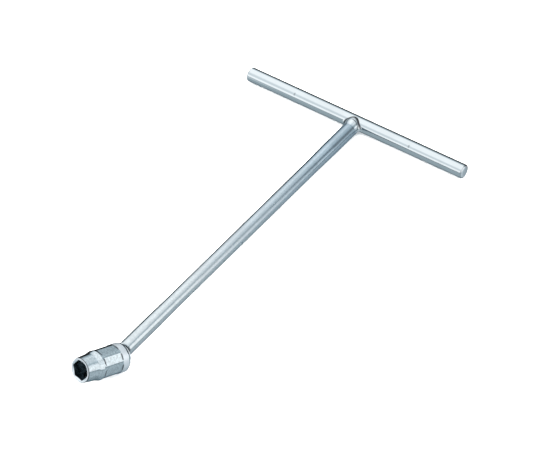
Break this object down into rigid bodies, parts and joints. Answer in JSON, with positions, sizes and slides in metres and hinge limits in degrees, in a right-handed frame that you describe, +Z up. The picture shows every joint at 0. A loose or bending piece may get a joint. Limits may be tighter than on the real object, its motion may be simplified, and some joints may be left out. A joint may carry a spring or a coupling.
{
  "type": "flex socket t-handle wrench",
  "caption": "T-handle wrench with a long chromed shaft and a hexagon socket that swivels on a pinned ball at its end.",
  "frame": {"origin": "on the surface the tool lies on, under the middle of its bounding box", "axes": "+X from the socket towards the cross bar, +Y along the cross bar, +Z up from the surface"},
  "size_m": [0.3158, 0.17, 0.0267],
  "materials": {
    "chrome_plate": "polished plate",
    "plated_weld": "plated over a dressed weld",
    "hardened_steel": "ground",
    "spring_steel": "oiled"
  },
  "bodies": {
    "handle": {"cross_bar": "chrome_plate", "weld_bead": "plated_weld", "shaft": "chrome_plate"},
    "pin": {"cross_pin": "hardened_steel"},
    "socket": {"socket_body": "chrome_plate", "retaining_ring": "spring_steel", "spring_cup": "hardened_steel", "friction_spring": "spring_steel"}
  },
  "joints": [
    {"name": "pin_pivot", "type": "hinge", "parent": "handle", "child": "pin", "pos_m": [-0.12633, 0, 0.01042], "axis": [0, 1, 0], "range_deg": [-33, 3]},
    {"name": "slot_tilt", "type": "hinge", "parent": "pin", "child": "socket", "pos_m": [-0.12633, 0, 0.01042], "axis": [0.2778, 0, 0.9606], "range_deg": [-4.1, 31.9]}
  ]
}
